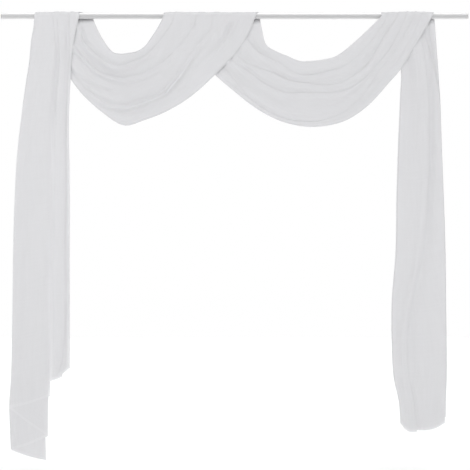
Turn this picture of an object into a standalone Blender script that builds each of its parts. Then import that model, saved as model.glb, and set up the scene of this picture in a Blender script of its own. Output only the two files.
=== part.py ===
"""A sheer voile scarf draped over a plain round rod in two swags, with a long tail at each end.

Frame: the origin is the middle of the rod's left end face, +X runs along the rod, +Z is up, and the room
side, from which the scarf is seen, is -Y. Lengths are in metres; the tables hold millimetres, because a
drape is measured off in millimetres along the rod and below its axis.

The scarf is one long panel. From its left end it runs up the left tail, in front of the rod, over the rod,
down behind it, through the first swag to the front again, over the rod, behind it, through the second swag,
over the rod once more, and down the right tail, which hangs behind. Across its width it is pleated: it goes
back and forth in five layers. A section's first edge is one long hem of the panel and its last edge the other.
"""

import math

import bmesh
import bpy
import numpy as np

MM = 0.001

# The rod: a plain round bar with square-cut ends, their corners just broken.
ROD_LENGTH = 2.000
ROD_RADIUS = 0.014
ROD_SIDES = 48
ROD_CORNER = 0.0008

# How many sections each stretch is made of.
TAIL_SECTIONS = 11
SWAG_SECTIONS = 16
PASS_SECTIONS = 6

# The cloth. Its innermost layer passes over the rod at the seat radius, which is taken at the corners of
# its facets, so that their middles clear the rod.
CLOTH_THICKNESS = 0.0010
ROD_CLEARANCE = 0.0004
SEAT_RADIUS = (ROD_RADIUS + ROD_CLEARANCE + CLOTH_THICKNESS / 2) / math.cos(math.pi / (2 * PASS_SECTIONS))
TURN_LENGTH = 2.0         # mm over which two layers close to the fold that joins them

# The pleats. Four folds part the panel's width into five layers, and with its two edges they stand at
# PLEAT_KNOTS across the section. BANDS says how many strips lie between neighbouring knots.
BANDS = (2, 2, 3, 2, 2)
PLEAT_KNOTS = tuple(int(k) for k in np.cumsum((0,) + BANDS))
EDGE, BACK_1, BACK_2, FORE_1, FORE_2, LAST_EDGE = range(6)
LAYERS = ((EDGE, FORE_1), (FORE_1, BACK_1), (BACK_1, FORE_2), (FORE_2, BACK_2), (BACK_2, LAST_EDGE))

# Left tail, downwards: drop below the rod's axis, its left and right edges along the rod, and the depth of its
# innermost layer, towards the wall from the rod's axis.
LEFT_TAIL = (
    # drop, left, right, depth
    (0, 144, 337, -15.4),
    (38, 142, 328, -15.2),
    (102, 131, 315, -15.0),
    (188, 123, 304, -14.6),
    (273, 110, 300, -14.2),
    (445, 87, 293, -13.4),
    (616, 69, 295, -12.7),
    (787, 60, 297, -12.0),
    (1044, 53, 296, -11.0),
    (1300, 50, 296, -9.9),
    (1557, 44, 296, -8.8),
    (1664, 37, 296, -8.4),
    (1771, 40, 292, -7.9),
    (1900, 45, 290, -7.4),
)

# Right tail, downwards, in the same columns. It hangs behind the rod and swings forward under it.
RIGHT_TAIL = (
    # drop, left, right, depth
    (0, 1676, 1855, 15.4),
    (102, 1695, 1862, 2.0),
    (231, 1711, 1871, -5.0),
    (359, 1707, 1880, -5.0),
    (530, 1700, 1886, -4.0),
    (787, 1692, 1896, -2.0),
    (1001, 1689, 1903, -1.0),
    (1236, 1672, 1906, 0.0),
    (1407, 1673, 1908, 1.0),
    (1557, 1683, 1908, 2.0),
    (1643, 1702, 1905, 3.0),
    (1780, 1712, 1903, 4.0),
)

# First swag, from behind the rod at the left to in front of it at the right. The lower edge is the panel's
# first edge and the upper edge its last. Depth is towards the wall from the rod's axis.
FIRST_SWAG = (
    # lower_along, lower_drop, upper_along, upper_drop, depth
    (176, 0, 390, 0, 15.4),
    (215, 128, 416, 59, 4),
    (266, 218, 442, 107, 3),
    (341, 327, 476, 151, 1),
    (437, 415, 510, 161, -3),
    (527, 469, 544, 158, -11),
    (617, 446, 583, 151, -20),
    (715, 407, 617, 130, -27),
    (818, 343, 645, 92, -29),
    (917, 253, 671, 51, -26),
    (1024, 141, 690, 14, -20),
    (1066, 64, 693, 6, -17),
    (1091, 0, 695, 0, -15.4),
)

# Second swag. Here the upper edge is the panel's first edge.
SECOND_SWAG = (
    # upper_along, upper_drop, lower_along, lower_drop, depth
    (1107, 0, 707, 0, 15.4),
    (1118, 59, 810, 132, 1),
    (1135, 122, 917, 253, -12),
    (1173, 149, 998, 323, -14),
    (1225, 171, 1092, 396, -14),
    (1276, 192, 1195, 450, -15),
    (1327, 193, 1306, 475, -17),
    (1383, 186, 1409, 468, -20),
    (1434, 172, 1494, 439, -24),
    (1481, 139, 1580, 376, -26),
    (1528, 98, 1657, 290, -25),
    (1576, 53, 1717, 220, -21),
    (1612, 17, 1794, 94, -17),
    (1628, 0, 1846, 0, -15.4),
)

# Where the cloth passes over the rod, its first and last edge along the rod in front, on top and behind.
LEFT_PASS = ((144, 337), (149, 341), (176, 390))
MIDDLE_PASS = ((1091, 695), (1101, 699), (1107, 707))
RIGHT_PASS = ((1628, 1846), (1631, 1853), (1676, 1855))

# The folds of each stretch. Progress runs from 0 to 1 the way the panel runs. The four folds stand at shares
# of the way from the first edge to the last. Gap is from layer to layer and swell is how far the cloth
# rounds out between the folds that show, both in mm. Seat is 0 where the first layer lies nearest the rod's
# side of the stack, and 1 where the last layer does.
LEFT_TAIL_FOLDS = (
    # progress, back_1, back_2, fore_1, fore_2, gap, swell, seat
    (0.0, 0.03, 0.625, 0.655, 0.80, 5.0, 6, 0),
    (0.5, 0.03, 0.63, 0.67, 0.82, 5.0, 7, 0),
    (0.9, 0.06, 0.60, 0.70, 0.88, 3.0, 5, 0),
    (1.0, 0.10, 0.56, 0.72, 0.90, 1.5, 0, 0),
)
FIRST_SWAG_FOLDS = (
    (0.0, 0.10, 0.40, 0.66, 0.86, 1.5, 0, 0),
    (0.17, 0.05, 0.13, 0.24, 0.46, 3.5, 8, 0.3),
    (0.42, 0.06, 0.18, 0.32, 0.56, 6.0, 13, 0.5),
    (0.67, 0.07, 0.20, 0.38, 0.64, 5.0, 11, 0.6),
    (0.84, 0.09, 0.26, 0.50, 0.72, 3.5, 4, 0.9),
    (1.0, 0.12, 0.32, 0.58, 0.80, 1.5, 0, 1),
)
SECOND_SWAG_FOLDS = (
    (0.0, 0.14, 0.34, 0.60, 0.82, 1.5, 0, 1),
    (0.16, 0.20, 0.46, 0.68, 0.86, 3.5, 5, 0.8),
    (0.40, 0.30, 0.50, 0.74, 0.90, 5.5, 11, 0.5),
    (0.62, 0.22, 0.50, 0.74, 0.90, 5.5, 11, 0.4),
    (0.84, 0.24, 0.48, 0.70, 0.88, 3.5, 5, 0.1),
    (1.0, 0.16, 0.44, 0.68, 0.88, 1.5, 0, 0),
)
RIGHT_TAIL_FOLDS = (
    (0.0, 0.14, 0.42, 0.68, 0.90, 1.5, 0, 0),
    (0.12, 0.10, 0.42, 0.72, 0.92, 3.5, 5, 0),
    (0.50, 0.06, 0.26, 0.58, 0.90, 5.0, 7, 0),
    (0.78, 0.05, 0.14, 0.30, 0.90, 5.0, 8, 0),
    (1.0, 0.05, 0.14, 0.26, 0.90, 5.0, 6, 0),
)

# The bottom hems. The left tail's runs up in steps from layer to layer; this is its drop at the first edge,
# at each fold in turn, and at the last edge. The right tail's is rounded, and each layer is a little shorter
# than the one before it.
LEFT_HEM = (1852, 1900, 1677, 1548, 1558, 1508)
RIGHT_HEM = (
    # share, drop
    (0.0, 1742),
    (0.1, 1768),
    (0.4, 1779),
    (0.8, 1768),
    (1.0, 1745),
)
RIGHT_HEM_STEP = 6        # mm that each layer is shorter than the one before

CLOTH_COLOUR = (0.80, 0.82, 0.84, 1.0)
ROD_COLOUR = (0.74, 0.75, 0.77, 1.0)


def read_smooth(place, places, values):
    """Reads a table between its rows: a cubic whose slope at each row comes from the rows beside it."""
    slopes = np.gradient(values, places, axis=0)
    i = int(np.clip(np.searchsorted(places, place) - 1, 0, len(places) - 2))
    width = places[i + 1] - places[i]
    u = (place - places[i]) / width
    start = values[i] * (1 + 2 * u) * (1 - u) ** 2 + slopes[i] * width * u * (1 - u) ** 2
    end = values[i + 1] * u * u * (3 - 2 * u) + slopes[i + 1] * width * u * u * (u - 1)
    return start + end


def table(rows):
    """A table's first column, and the rest of its columns."""
    numbers = np.array(rows, float)
    return numbers[:, 0], numbers[:, 1:]


def fold_row(folds, progress):
    """The folds' shares, the gap, the swell and the seat at one place along a stretch."""
    places, values = table(folds)
    return np.array([np.interp(progress, places, column) for column in values.T])


def swell_at_knots(shares, lines):
    """How far the cloth rounds out, from 0 at each line that shows to 1 midway between two of them."""
    swell = np.zeros(len(shares))
    for low, high in zip(lines[:-1], lines[1:]):
        inside = np.arange(low, high + 1)
        across = (shares[inside] - shares[low]) / (shares[high] - shares[low])
        swell[inside] = np.sin(math.pi * across)
    return swell


def section(row, width, shown):
    """One back-and-forth section.

    Returns, column by column, the share of the way across, the height of the layer in the stack and the
    swell, the last two in mm. Width is the section's in mm, and shown holds the two folds that show.
    """
    folds, (gap, swell, seat) = row[:4], row[4:]
    corners = np.concatenate(([0.0], folds, [1.0]))
    shares = np.interp(np.arange(PLEAT_KNOTS[-1] + 1), PLEAT_KNOTS, corners)
    lines = [PLEAT_KNOTS[line] for line in (EDGE, *shown, LAST_EDGE)]
    rounding = swell * swell_at_knots(shares, lines)

    # A pair of gaps lies above each pair of folds, from the fold back to the fold forth.
    knots = np.arange(len(shares))
    step = np.zeros((len(LAYERS) - 1, len(shares)))
    for pair, (back, fore) in enumerate(((BACK_1, FORE_1), (BACK_2, FORE_2))):
        between = (knots >= PLEAT_KNOTS[back]) & (knots <= PLEAT_KNOTS[fore])
        step[2 * pair:2 * pair + 2, between] = gap
    levels = np.vstack((np.zeros(len(shares)), np.cumsum(step, axis=0)))
    levels = levels - seat * levels[-1]

    turn = TURN_LENGTH / width
    across, height = [], []
    for layer, (start, end) in enumerate(LAYERS):
        low, high = PLEAT_KNOTS[start], PLEAT_KNOTS[end]
        way = 1 if high > low else -1
        run = shares[low:high + way:way].copy()
        if layer > 0:
            run[0] += way * turn
        if layer < len(LAYERS) - 1:
            run[-1] -= way * turn
        across.extend(run)
        height.extend(np.interp(run, shares, levels[layer]))
        if layer < len(LAYERS) - 1:
            across.append(shares[high])
            height.append((levels[layer][high] + levels[layer + 1][high]) / 2)
    rounded = np.interp(across, shares, rounding)
    return np.array(across), np.array(height), rounded


def layer_of_columns():
    """Which layer each column of a section belongs to; a fold belongs to the layer that it ends."""
    counts = [abs(PLEAT_KNOTS[end] - PLEAT_KNOTS[start]) + 2 for start, end in LAYERS]
    counts[-1] -= 1
    return np.repeat(np.arange(len(LAYERS)), counts)


def swag_sections(edges, folds, shown, facing):
    """The sections of a swag. Facing is the way along Y in which the layers are stacked."""
    rows = np.array(edges, float)
    places = np.linspace(0.0, 1.0, len(rows))
    sections = []
    for progress in np.linspace(0.0, 1.0, SWAG_SECTIONS):
        first_x, first_drop, last_x, last_drop, depth = read_smooth(progress, places, rows)
        width = math.hypot(last_x - first_x, last_drop - first_drop)
        across, height, rounded = section(fold_row(folds, progress), width, shown)
        x = first_x + across * (last_x - first_x)
        z = -(first_drop + across * (last_drop - first_drop))
        y = depth + facing * height - rounded
        sections.append(np.column_stack((x, y, z)))
    return sections


def tail_sections(edges, folds, shown, facing, hem, downwards):
    """The sections of a tail, whose columns each end at their own hem."""
    drops, sides = table(edges)
    sections = []
    for way_down in np.linspace(0.0, 1.0, TAIL_SECTIONS):
        points = []
        for column, foot in enumerate(hem):
            drop = way_down * foot
            left, right, depth = read_smooth(drop, drops, sides)
            progress = way_down if downwards else 1.0 - way_down
            across, height, rounded = section(fold_row(folds, progress), right - left, shown)
            y = depth + facing * height[column] - rounded[column]
            points.append((left + across[column] * (right - left), y, -drop))
        sections.append(np.array(points))
    return sections if downwards else sections[::-1]


def pass_sections(edges, row, outwards):
    """The sections where the cloth passes over the rod, from its front over its top to its back."""
    corners = np.array(edges, float)
    sections = []
    for way_over in np.linspace(0.0, 1.0, PASS_SECTIONS + 1)[1:-1]:
        first_x, last_x = read_smooth(way_over, np.array((0.0, 0.5, 1.0)), corners)
        across, height, _ = section(row, abs(last_x - first_x), (FORE_1, FORE_2))
        out = SEAT_RADIUS / MM + (height if outwards else -height)
        angle = math.pi * way_over
        x = first_x + across * (last_x - first_x)
        sections.append(np.column_stack((x, -out * math.cos(angle), out * math.sin(angle))))
    return sections


def left_hem_drops():
    """The left hem's drop at each column, straight from fold to fold."""
    across, _, _ = section(fold_row(LEFT_TAIL_FOLDS, 0.0), LEFT_TAIL[-1][2] - LEFT_TAIL[-1][1], (BACK_1, BACK_2))
    layers = layer_of_columns()
    drops = np.zeros(len(across))
    for layer in range(len(LAYERS)):
        here = layers == layer
        ends = across[here][[0, -1]]
        share = (across[here] - ends[0]) / (ends[1] - ends[0])
        drops[here] = LEFT_HEM[layer] + share * (LEFT_HEM[layer + 1] - LEFT_HEM[layer])
    return drops


def right_hem_drops():
    """The right hem's drop at each column: one rounded line, a little shorter from layer to layer."""
    across, _, _ = section(fold_row(RIGHT_TAIL_FOLDS, 1.0), RIGHT_TAIL[-1][2] - RIGHT_TAIL[-1][1], (FORE_1, FORE_2))
    shares, drops = table(RIGHT_HEM)
    return np.interp(across, shares, drops[:, 0]) - RIGHT_HEM_STEP * layer_of_columns()


def loft(name, sections, collection):
    """An open sheet of four-sided faces through the sections, row after row."""
    columns = len(sections[0])
    bm = bmesh.new()
    rows = [[bm.verts.new([float(v) * MM for v in point]) for point in points] for points in sections]
    for row, following in zip(rows[:-1], rows[1:]):
        for c in range(columns - 1):
            bm.faces.new((row[c], row[c + 1], following[c + 1], following[c]))
    bmesh.ops.recalc_face_normals(bm, faces=bm.faces)
    mesh = bpy.data.meshes.new(name)
    bm.to_mesh(mesh)
    bm.free()
    sheet = bpy.data.objects.new(name, mesh)
    collection.objects.link(sheet)
    return sheet


def material(name, colour, roughness, metallic):
    """A plain Principled material."""
    finish = bpy.data.materials.new(name)
    finish.use_nodes = True
    shader = finish.node_tree.nodes["Principled BSDF"]
    shader.inputs["Base Color"].default_value = colour
    shader.inputs["Roughness"].default_value = roughness
    shader.inputs["Metallic"].default_value = metallic
    return finish


def make_scarf(collection):
    """The whole panel, lofted through its sections from the left hem to the right one, then thickened."""
    towards_room, towards_wall = -1, 1
    sections = tail_sections(LEFT_TAIL, LEFT_TAIL_FOLDS, (BACK_1, BACK_2), towards_room, left_hem_drops(), False)
    sections += pass_sections(LEFT_PASS, fold_row(LEFT_TAIL_FOLDS, 1.0), True)
    sections += swag_sections(FIRST_SWAG, FIRST_SWAG_FOLDS, (FORE_1, FORE_2), towards_wall)
    sections += pass_sections(MIDDLE_PASS, fold_row(FIRST_SWAG_FOLDS, 1.0), False)
    sections += swag_sections(SECOND_SWAG, SECOND_SWAG_FOLDS, (BACK_1, BACK_2), towards_room)
    sections += pass_sections(RIGHT_PASS, fold_row(SECOND_SWAG_FOLDS, 1.0), True)
    sections += tail_sections(RIGHT_TAIL, RIGHT_TAIL_FOLDS, (FORE_1, FORE_2), towards_wall, right_hem_drops(), True)
    scarf = loft("voile_scarf", sections, collection)
    thicken = scarf.modifiers.new("cloth_thickness", "SOLIDIFY")
    thicken.thickness = CLOTH_THICKNESS
    thicken.offset = 0.0
    scarf.data.materials.append(material("white_voile", CLOTH_COLOUR, 0.85, 0.0))
    scarf.data.shade_smooth()
    return scarf


def make_rod(collection):
    """The rod: a cylinder along +X from the origin, its end corners broken."""
    bpy.ops.mesh.primitive_cylinder_add(
        vertices=ROD_SIDES, radius=ROD_RADIUS, depth=ROD_LENGTH,
        location=(ROD_LENGTH / 2, 0.0, 0.0), rotation=(0.0, math.pi / 2, 0.0))
    rod = bpy.context.object
    rod.name = "rod"
    for owner in list(rod.users_collection):
        owner.objects.unlink(rod)
    collection.objects.link(rod)
    corner = rod.modifiers.new("broken_corners", "BEVEL")
    corner.width = ROD_CORNER
    corner.segments = 1
    corner.limit_method = "ANGLE"
    corner.angle_limit = math.radians(60)
    rod.data.materials.append(material("glossy_white_enamel", ROD_COLOUR, 0.25, 0.0))
    rod.data.shade_smooth()
    return rod


def main():
    for leftover in list(bpy.data.objects):
        bpy.data.objects.remove(leftover, do_unlink=True)
    collection = bpy.data.collections.new("voile_scarf_on_rod")
    bpy.context.scene.collection.children.link(collection)
    make_rod(collection)
    make_scarf(collection)


main()
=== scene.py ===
# %% [markdown]
# # A sheer voile scarf, draped over a plain rod
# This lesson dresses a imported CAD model: a white voile scarf that hangs in two swags and two long tails
# from a thin round rod. The CAD model gives the places and the folded shape in five thick layers. Here the
# same cloth is made again as one thin see-through sheet with finer pleats, and the rod gets its enamel.

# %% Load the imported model
import math

import bpy
import numpy as np
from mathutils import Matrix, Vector


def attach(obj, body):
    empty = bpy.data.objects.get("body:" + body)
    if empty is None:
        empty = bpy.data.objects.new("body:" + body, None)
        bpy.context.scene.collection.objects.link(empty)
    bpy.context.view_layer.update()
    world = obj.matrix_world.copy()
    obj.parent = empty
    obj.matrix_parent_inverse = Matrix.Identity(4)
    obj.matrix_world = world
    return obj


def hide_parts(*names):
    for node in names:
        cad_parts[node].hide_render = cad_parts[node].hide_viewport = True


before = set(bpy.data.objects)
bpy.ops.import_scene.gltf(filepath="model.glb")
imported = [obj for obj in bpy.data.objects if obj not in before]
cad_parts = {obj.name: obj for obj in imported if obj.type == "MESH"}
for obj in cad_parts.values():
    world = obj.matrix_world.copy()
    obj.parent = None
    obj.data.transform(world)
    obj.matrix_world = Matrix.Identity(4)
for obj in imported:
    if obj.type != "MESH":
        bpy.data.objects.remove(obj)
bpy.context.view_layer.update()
scene = bpy.context.scene
print("nodes:", sorted(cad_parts))

# %% [markdown]
# ## The camera
# A shop picture of a curtain is taken from far away with a long lens, straight on, so that the rod stays
# level and the tails hang straight. A perspective camera twelve metres away does the same; its lens follows
# from the distance and the width of the view.

# %% Camera
VIEW_WIDTH = 2.0111  # m across the picture, at the rod
VIEW_DISTANCE = 12.0  # m from the camera to the rod
VIEW_MIDDLE = (1.0021, -0.9367)  # m, along the rod and up, of the point that the camera faces

lens = bpy.data.cameras.new("long_lens")
lens.lens = lens.sensor_width * VIEW_DISTANCE / VIEW_WIDTH
camera = bpy.data.objects.new("long_lens", lens)
camera.location = (VIEW_MIDDLE[0], -VIEW_DISTANCE, VIEW_MIDDLE[1])
camera.rotation_euler = (math.radians(90), 0.0, 0.0)
scene.collection.objects.link(camera)
scene.camera = camera
print("lens in mm:", round(lens.lens, 1))

# %% [markdown]
# ## The rod
# The real rod is a thin enamelled steel tube with square-cut, closed ends. It could be a curve with a round
# bevel, but a cylinder primitive gives clean end faces to work on. The end faces are inset and pushed in a
# little, as the closed end of a tube is, and the rims are bevelled, so that they catch a thin line of light.

# %% Model the rod
ROD_LENGTH = 2.000  # m
ROD_RADIUS = 0.014  # m
ROD_SIDES = 96  # flat sides that stand for the round
ROD_RIM = 0.0008  # m, the bevel of a rim
RIM_STEPS = 3  # faces across that bevel
ROD_WALL = 0.0018  # m, how thick the tube's wall looks at its end
CLOSING_SLOPE = 0.0004  # m, the slope from the wall down to the disc that closes the tube
CLOSING_DEPTH = 0.0006  # m that the disc lies in
SMOOTH_BELOW = math.radians(35)  # faces that meet at less than this are shaded as one


def choose_faces(mesh_object, wanted):
    """Selects, in edit mode, the faces that pass a test on their middle and normal."""
    bpy.ops.mesh.select_all(action="DESELECT")
    bpy.ops.object.mode_set(mode="OBJECT")
    for face in mesh_object.data.polygons:
        face.select = wanted(face.center, face.normal)
    bpy.ops.object.mode_set(mode="EDIT")


def looks_endways(middle, normal):
    """Whether a face's normal runs along the rod."""
    return abs(normal.x) > 0.999


def closes_tube(middle, normal):
    """Whether a face is the disc in the middle of an end."""
    return looks_endways(middle, normal) and math.hypot(middle.y, middle.z) < 1e-4


for loaded in bpy.context.selected_objects:
    loaded.select_set(False)
bpy.ops.mesh.primitive_cylinder_add(
    vertices=ROD_SIDES, radius=ROD_RADIUS, depth=ROD_LENGTH, end_fill_type="NGON",
    location=(ROD_LENGTH / 2, 0.0, 0.0), rotation=(0.0, math.pi / 2, 0.0))
rod = bpy.context.object
rod.name = "enamelled_rod"
bpy.ops.object.transform_apply(location=True, rotation=True, scale=True)
bpy.ops.object.mode_set(mode="EDIT")
bpy.ops.mesh.select_mode(type="FACE")
choose_faces(rod, looks_endways)
bpy.ops.mesh.bevel(offset=ROD_RIM, segments=RIM_STEPS, profile=0.5, affect="EDGES")
choose_faces(rod, looks_endways)
bpy.ops.mesh.inset(thickness=ROD_WALL, use_boundary=True)
choose_faces(rod, closes_tube)
bpy.ops.mesh.inset(thickness=CLOSING_SLOPE, depth=-CLOSING_DEPTH)
bpy.ops.object.mode_set(mode="OBJECT")
bpy.ops.object.shade_smooth_by_angle(angle=SMOOTH_BELOW)
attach(rod, "root")
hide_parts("rod")
print("rod faces:", len(rod.data.polygons), "length in m:", round(rod.dimensions.x, 4))

# %% [markdown]
# ## How the scarf hangs
# The scarf is one panel, 1.4 m wide and 6.0 m long. From its left end it runs up the left tail in front of
# the rod, over it and down behind, through the first swag to the front again, over the rod and behind it
# once more, through the second swag, over the rod a last time, and down the right tail, which hangs behind.
# A cloth simulation could drop it on the rod, but then the folds would fall where they like. Here it is laid
# as listed: tables say where its two edges run, in millimetres along the rod and below its axis, and further
# tables place its folds.

# %% Where the edges of the scarf run
MM = 0.001  # m; the tables are in millimetres

# Left tail, downwards: drop below the rod's axis, its left and right edges along the rod, and the depth of
# its innermost layer, towards the wall from the rod's axis.
LEFT_TAIL = (
    # drop, left, right, depth
    (0, 144, 337, -14.6),
    (38, 142, 328, -15.0),
    (102, 131, 315, -14.6),
    (188, 123, 304, -14.0),
    (273, 110, 300, -13.4),
    (445, 87, 293, -12.4),
    (616, 69, 295, -11.5),
    (787, 60, 297, -10.8),
    (1044, 53, 296, -9.8),
    (1300, 50, 296, -8.8),
    (1557, 44, 296, -8.0),
    (1664, 37, 296, -7.6),
    (1771, 40, 292, -7.2),
    (1900, 45, 290, -6.6),
)

# Right tail, downwards, in the same columns.
RIGHT_TAIL = (
    (0, 1676, 1855, 14.6),
    (102, 1695, 1862, -13.0),
    (231, 1711, 1871, -15.0),
    (359, 1707, 1880, -12.0),
    (530, 1700, 1886, -9.0),
    (787, 1692, 1896, -6.0),
    (1001, 1689, 1903, -3.0),
    (1236, 1672, 1906, 0.0),
    (1407, 1673, 1908, 1.0),
    (1557, 1683, 1908, 2.0),
    (1643, 1702, 1905, 3.0),
    (1780, 1712, 1903, 4.0),
)

# First swag, from behind the rod at the left to in front of it at the right. Its lower edge is the panel's
# first long edge and its upper edge the other.
FIRST_SWAG = (
    # lower_along, lower_drop, upper_along, upper_drop, depth
    (176, 0, 390, 0, 14.6),
    (215, 128, 416, 59, -11),
    (266, 218, 442, 107, -11),
    (341, 327, 476, 151, -11),
    (437, 415, 510, 161, -12),
    (527, 469, 544, 158, -15),
    (617, 446, 583, 151, -20),
    (715, 407, 617, 130, -27),
    (818, 343, 645, 92, -29),
    (917, 253, 671, 51, -26),
    (1024, 141, 690, 14, -20),
    (1066, 64, 693, 6, -17),
    (1091, 0, 695, 0, -14.6),
)

# Second swag, also from behind the rod to in front of it. Here the upper edge is the panel's first edge.
SECOND_SWAG = (
    # upper_along, upper_drop, lower_along, lower_drop, depth
    (1107, 0, 707, 0, 14.6),
    (1118, 59, 810, 132, -14),
    (1135, 122, 917, 253, -22.5),
    (1173, 149, 998, 323, -21),
    (1225, 171, 1092, 396, -20),
    (1276, 192, 1195, 450, -20),
    (1327, 193, 1306, 475, -21),
    (1383, 186, 1409, 468, -22),
    (1434, 172, 1494, 439, -24),
    (1481, 139, 1580, 376, -25),
    (1528, 98, 1657, 290, -23),
    (1576, 53, 1717, 220, -19),
    (1612, 17, 1794, 94, -16),
    (1628, 0, 1846, 0, -14.6),
)

# Where the panel passes over the rod: its first and last edge in front, on top and behind.
LEFT_PASS = ((144, 337), (149, 341), (176, 390))
MIDDLE_PASS = ((1091, 695), (1101, 699), (1107, 707))
RIGHT_PASS = ((1628, 1846), (1631, 1853), (1676, 1855))
print("edge tables:", len(LEFT_TAIL), len(FIRST_SWAG), len(SECOND_SWAG), len(RIGHT_TAIL), "rows")

# %% [markdown]
# ## The pleats
# Across its width the panel goes back and forth in soft pleats, so that 1.4 m of voile fits in a band of
# 0.2 to 0.4 m. Five pleats make eleven layers. The way across runs forward to the first fore fold, back to
# the first back fold, forward to the second fore fold, and so on. A fold's place is a share of the way from
# the panel's first edge to its last. The layers lie one on the other, so on the side where the last layer
# lies outermost the back folds show, and on the other side the fore folds show.

# %% The folds of the left tail and the first swag
PLEATS = 5  # each has a fore fold and a back fold
PARTS = 1000  # progress and places across are given in thousandths

# A row is the progress, five back folds, five fore folds, the gap and the seat. Progress is how far along
# the stretch, the way the panel runs. Gap is from layer to layer in mm. Seat is 0 where the first layer
# keeps the depth of the edge table, and 1 where the last layer does. A stretch starts as the one before it
# ends.
LEFT_TAIL_FOLDS = (
    (0, (10, 0, 645, 700, 790), (600, 640, 665, 975, 865), 1.2, 0),
    (50, (10, 0, 645, 700, 880), (600, 640, 670, 975, 940), 1.2, 0),
    (120, (10, 0, 650, 700, 920), (600, 640, 680, 975, 985), 1.2, 0),
    (400, (20, 0, 650, 700, 925), (610, 640, 690, 975, 985), 1.2, 0),
    (800, (20, 10, 650, 700, 940), (600, 650, 720, 975, 985), 1.1, 0),
    (900, (10, 30, 630, 690, 930), (580, 660, 760, 975, 985), 0.9, 0),
    (950, (10, 40, 520, 600, 860), (540, 650, 800, 985, 970), 0.7, 0),
    (1000, (10, 60, 400, 500, 780), (500, 640, 820, 985, 950), 0.6, 0),
)
FIRST_SWAG_FOLDS = (
    (0, *LEFT_TAIL_FOLDS[-1][1:]),
    (110, (10, 40, 180, 340, 520), (160, 420, 640, 985, 860), 0.9, 0.2),
    (180, (10, 40, 140, 260, 500), (100, 470, 700, 985, 840), 1.0, 0.3),
    (260, (10, 50, 180, 320, 540), (130, 555, 775, 985, 870), 1.1, 0.4),
    (350, (10, 80, 220, 380, 580), (220, 635, 810, 985, 880), 1.1, 0.45),
    (440, (10, 110, 280, 430, 610), (315, 670, 865, 985, 910), 1.1, 0.5),
    (580, (10, 120, 320, 480, 660), (305, 660, 885, 985, 930), 1.1, 0.6),
    (670, (10, 180, 380, 540, 720), (385, 625, 875, 985, 930), 1.1, 0.7),
    (780, (0, 260, 460, 600, 780), (445, 620, 870, 985, 930), 1.0, 0.85),
    (890, (0, 360, 540, 680, 840), (435, 625, 875, 985, 940), 0.9, 0.95),
    (1000, (0, 420, 580, 720, 870), (470, 635, 880, 985, 940), 0.6, 1),
)
print("layers:", 2 * PLEATS + 1)

# %% The folds of the second swag and the right tail
SECOND_SWAG_FOLDS = (
    (0, *FIRST_SWAG_FOLDS[-1][1:]),
    (90, (0, 250, 540, 680, 860), (560, 680, 860, 985, 930), 0.8, 1),
    (140, (0, 200, 500, 620, 810), (550, 690, 850, 985, 930), 0.7, 0.95),
    (210, (0, 170, 440, 575, 850), (540, 700, 850, 985, 950), 0.7, 0.85),
    (280, (0, 160, 360, 585, 920), (520, 710, 850, 990, 970), 0.8, 0.75),
    (360, (0, 190, 345, 560, 940), (500, 720, 850, 990, 975), 0.9, 0.6),
    (440, (0, 220, 335, 490, 930), (500, 720, 850, 990, 970), 0.9, 0.55),
    (560, (0, 190, 400, 520, 880), (500, 720, 850, 990, 960), 0.8, 0.45),
    (680, (0, 220, 440, 590, 800), (500, 700, 840, 985, 950), 0.7, 0.35),
    (760, (0, 220, 455, 600, 720), (500, 680, 820, 985, 920), 0.8, 0.25),
    (860, (0, 180, 345, 570, 690), (500, 660, 800, 985, 920), 0.9, 0.1),
    (1000, (0, 120, 320, 480, 640), (500, 640, 800, 985, 900), 0.6, 0),
)
RIGHT_TAIL_FOLDS = (
    (0, *SECOND_SWAG_FOLDS[-1][1:]),
    (60, (0, 120, 300, 400, 560), (620, 740, 860, 985, 930), 1.0, 0),
    (150, (0, 100, 250, 360, 500), (690, 930, 930, 985, 920), 1.0, 0),
    (220, (0, 100, 240, 330, 480), (710, 985, 940, 980, 910), 1.0, 0),
    (320, (0, 100, 220, 300, 460), (720, 985, 950, 980, 910), 1.0, 0),
    (540, (0, 80, 200, 280, 440), (570, 985, 950, 970, 900), 1.0, 0),
    (750, (0, 60, 180, 260, 420), (310, 985, 950, 970, 900), 1.0, 0),
    (860, (0, 60, 160, 240, 400), (280, 985, 950, 970, 900), 1.1, 0),
    (1000, (0, 60, 160, 240, 400), (360, 985, 950, 970, 900), 1.1, 0),
)
print("fold tables:", len(SECOND_SWAG_FOLDS), "and", len(RIGHT_TAIL_FOLDS), "rows")

# %% [markdown]
# ## Reading the tables
# Between the rows of a table the cloth has to bend softly. Straight lines between rows would show as
# corners, so each column is read with a cubic whose slope at a row comes from the rows on both sides of it.

# %% Helpers that read the tables
FORE_RANGE = (0.02, 0.995)  # where a fore fold may stand, as a share of the way across
BACK_RANGE = (0.0, 0.98)  # where a back fold may stand
FOLD_ROOM = 0.01  # the least share between one fold and the next
LEAST_GAP = 0.5  # mm from layer to layer
CROWDING = 0.5  # how much closer together the rows lie near the ends of a stretch


def read_smooth(places, known, values):
    """The table's columns at any places, as a cubic through its rows; columns come last."""
    values = np.asarray(values, float)
    known = np.asarray(known, float)
    slopes = np.gradient(values, known, axis=0)
    i = np.clip(np.searchsorted(known, places) - 1, 0, len(known) - 2)
    step = known[i + 1] - known[i]
    u = ((places - known[i]) / step)[..., None]
    step = step[..., None]
    start = values[i] * (1 + 2 * u) * (1 - u) ** 2 + slopes[i] * step * u * (1 - u) ** 2
    end = values[i + 1] * u * u * (3 - 2 * u) + slopes[i + 1] * step * u * u * (u - 1)
    return start + end


def soft_step(x):
    """0 below 0, 1 above 1, and a soft rise between."""
    x = np.clip(x, 0.0, 1.0)
    return x * x * (3 - 2 * x)


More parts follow.
